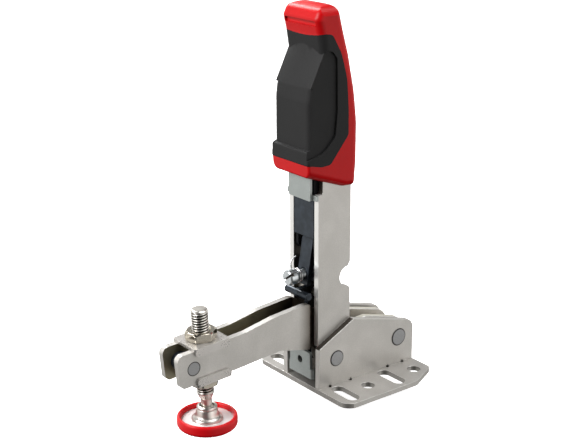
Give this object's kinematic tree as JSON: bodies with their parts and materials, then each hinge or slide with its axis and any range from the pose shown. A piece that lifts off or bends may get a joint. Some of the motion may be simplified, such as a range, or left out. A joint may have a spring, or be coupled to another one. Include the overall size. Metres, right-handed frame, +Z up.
{
  "type": "vertical toggle clamp",
  "caption": "Vertical toggle clamp with a flat slotted base, open two-plate arm, threaded spindle with swivel foot, upright channel handle, self-adjusting lock bar and moulded grip.",
  "frame": {"origin": "centre of the base plate's underside", "axes": "+Z up, the arm points along -Y, X across the clamp"},
  "size_m": [0.07, 0.134, 0.1874],
  "materials": {
    "plated_steel": "satin",
    "blue_zinc": "satin",
    "bright_nickel": "polished",
    "black_oxide": "satin",
    "red_plastic": "satin",
    "dark_plastic": "matte",
    "red_rubber": "matte"
  },
  "bodies": {
    "base": {"base_plate": "plated_steel", "left_cheek": "plated_steel", "right_cheek": "plated_steel", "stop_plate": "blue_zinc", "arm_pivot_rivet": "plated_steel", "link_pivot_rivet": "plated_steel"},
    "link": {"left_link_plate": "plated_steel", "right_link_plate": "plated_steel", "link_sleeve": "plated_steel"},
    "arm": {"left_arm_plate": "plated_steel", "right_arm_plate": "plated_steel", "arm_end_spacer": "plated_steel", "arm_end_rivet": "plated_steel", "heel_pin": "bright_nickel"},
    "handle": {"left_handle_plate": "plated_steel", "right_handle_plate": "plated_steel", "handle_pin": "bright_nickel", "carrier": "black_oxide", "carrier_pin": "bright_nickel", "slide_plate": "black_oxide", "lock_bar_pin": "bright_nickel", "force_block": "black_oxide", "lock_spring": "bright_nickel", "stop_bar": "black_oxide", "bridge_clip": "blue_zinc", "grip_shell": "red_plastic", "grip_panel": "dark_plastic"},
    "lock_bar": {"lock_bar": "black_oxide"},
    "force_screw": {"force_screw": "bright_nickel"},
    "carriage": {"upper_washer": "plated_steel", "lower_washer": "plated_steel", "upper_nut": "bright_nickel", "lower_nut": "bright_nickel"},
    "spindle": {"spindle": "bright_nickel"},
    "foot": {"foot_plate": "bright_nickel", "foot_cap": "red_rubber"}
  },
  "joints": [
    {"name": "handle_pivot", "type": "hinge", "parent": "link", "child": "handle", "pos_m": [0, -0.00925, 0.02426], "axis": [-1, 0, 0], "range_deg": [0, 106.27]},
    {"name": "link_pivot", "type": "hinge", "parent": "base", "child": "link", "pos_m": [0, 0.0205, 0.0164], "axis": [1, 0, 0], "range_deg": [0, 27.78]},
    {"name": "arm_pivot", "type": "hinge", "parent": "base", "child": "arm", "pos_m": [0, -0.019, 0.016], "axis": [-1, 0, 0], "range_deg": [0, 70.81]},
    {"name": "spindle_reach", "type": "slide", "parent": "arm", "child": "carriage", "axis": [0, 0.9983, 0.0576], "range_m": [0, 0.007]},
    {"name": "spindle_height", "type": "slide", "parent": "carriage", "child": "spindle", "axis": [0, -0.0576, 0.9983], "range_m": [-0.009, 0.01]},
    {"name": "foot_tilt", "type": "hinge", "parent": "spindle", "child": "foot", "pos_m": [0, -0.08428, 0.0036], "axis": [1, 0, 0], "range_deg": [-8, 8]},
    {"name": "lock_bar_tilt", "type": "hinge", "parent": "handle", "child": "lock_bar", "pos_m": [0, -0.0236, 0.071], "axis": [1, 0, 0], "range_deg": [0, 3], "stiffness_Nm_per_rad": 0.03},
    {"name": "force_screw_turn", "type": "hinge", "parent": "handle", "child": "force_screw", "pos_m": [0, -0.03, 0.057], "axis": [0, 1, 0], "continuous": true}
  ],
  "couplings": [
    {"joint": "link_pivot", "follows": "handle_pivot", "ratio": 0.26132},
    {"joint": "arm_pivot", "follows": "handle_pivot", "ratio": 0.66623}
  ]
}
